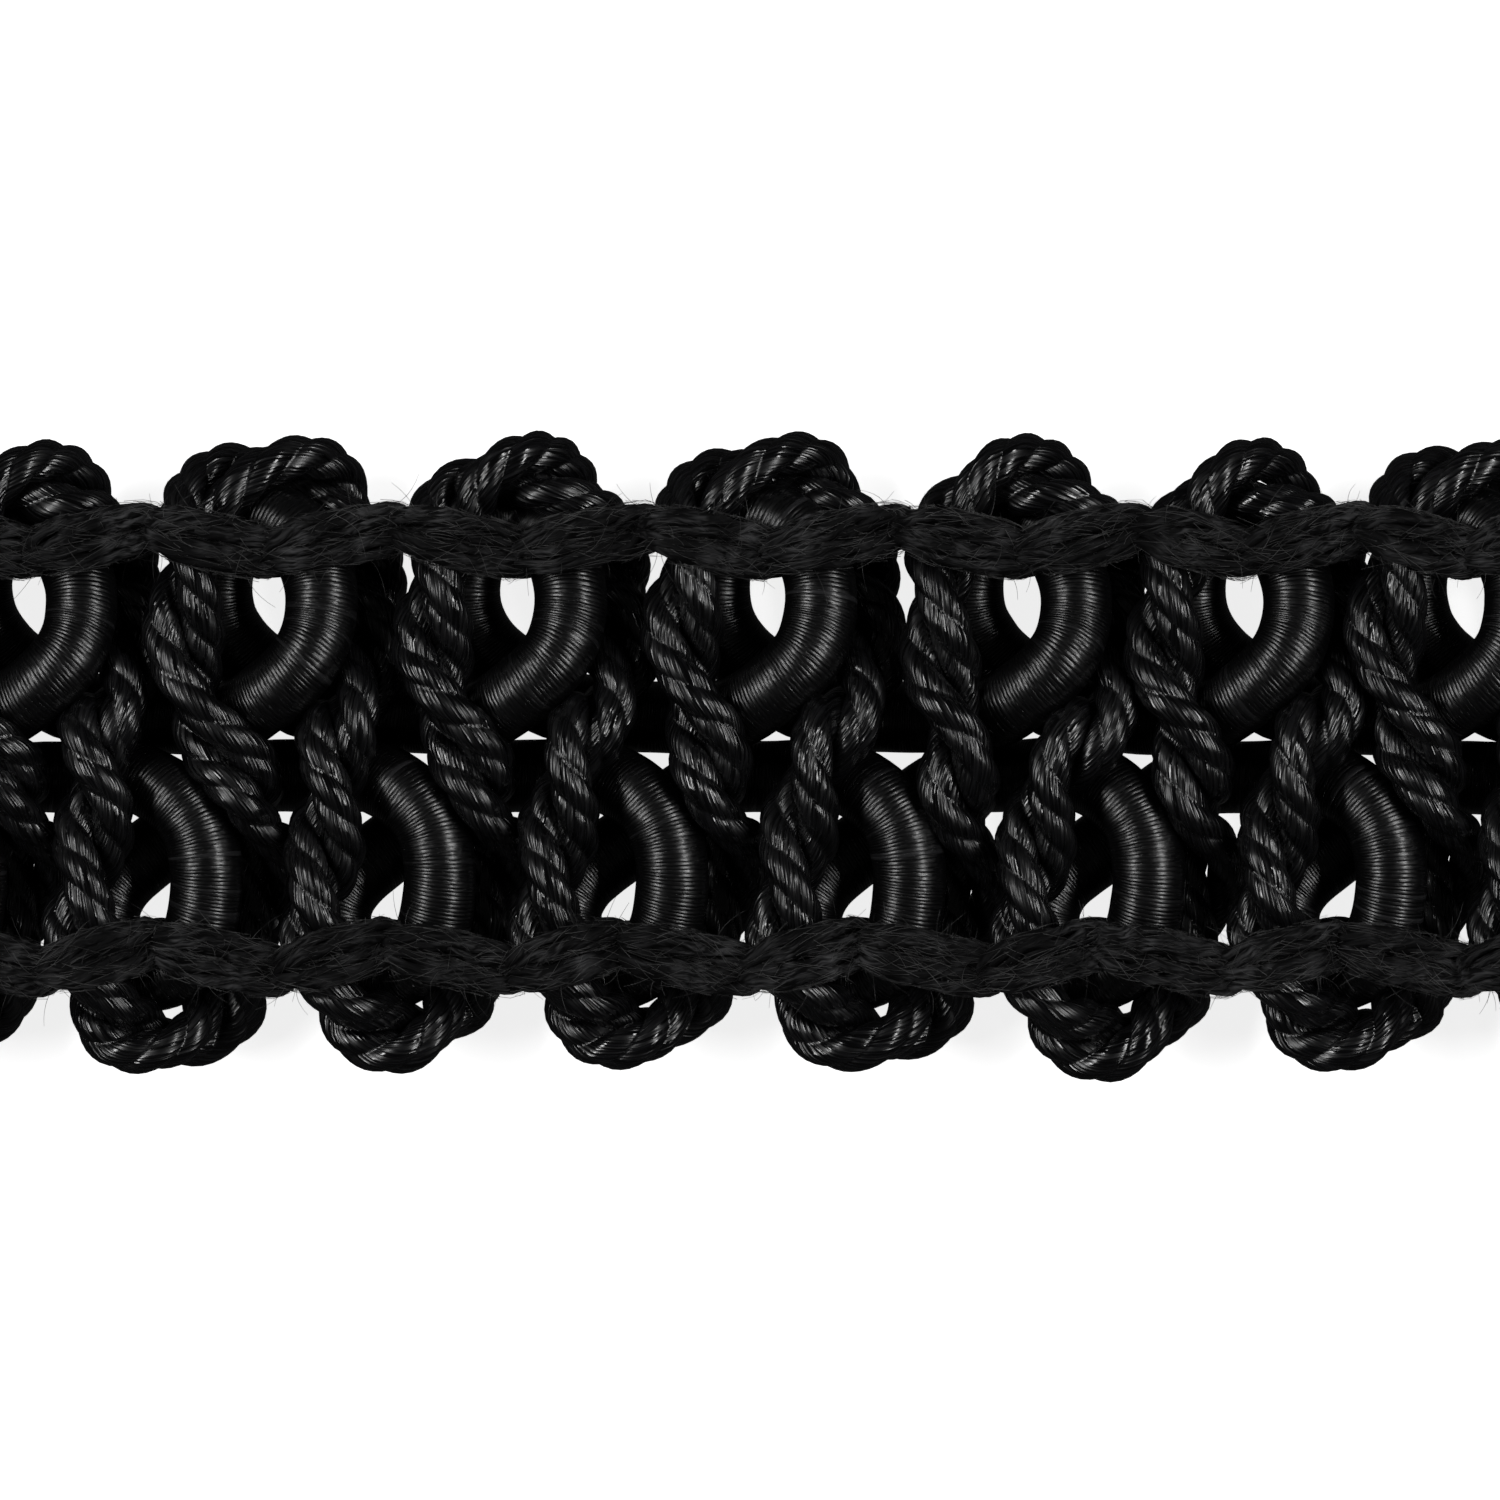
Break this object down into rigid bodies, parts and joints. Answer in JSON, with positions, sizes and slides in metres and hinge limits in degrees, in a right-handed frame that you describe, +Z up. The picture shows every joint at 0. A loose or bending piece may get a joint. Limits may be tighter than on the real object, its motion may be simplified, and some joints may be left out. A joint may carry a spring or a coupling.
{
  "type": "scroll gimp braid trim, cut length",
  "caption": "Flat black scroll gimp braid: thick satin-wrapped cords in open loops along both edges, a wound pair of thin twisted cords round the loops, and chain-stitched rows.",
  "frame": {"origin": "middle of the cut length's footprint, on the surface that it lies on", "axes": "+X along the braid, +Y across it towards the row with the upright loops' heads, +Z up out of its face"},
  "size_m": [0.0476, 0.0156, 0.0045],
  "materials": {
    "gimp_satin": "black filament wrapped closely round a core, satin",
    "cord_rayon": "black twisted filament cord, glossy",
    "chain_yarn": "black spun yarn, matt and slightly hairy"
  },
  "bodies": {
    "root": {"gimp_top": "gimp_satin", "gimp_bottom": "gimp_satin", "twisted_cord_a": "cord_rayon", "twisted_cord_b": "cord_rayon", "edge_chain_top": "chain_yarn", "edge_chain_bottom": "chain_yarn"}
  },
  "joints": []
}
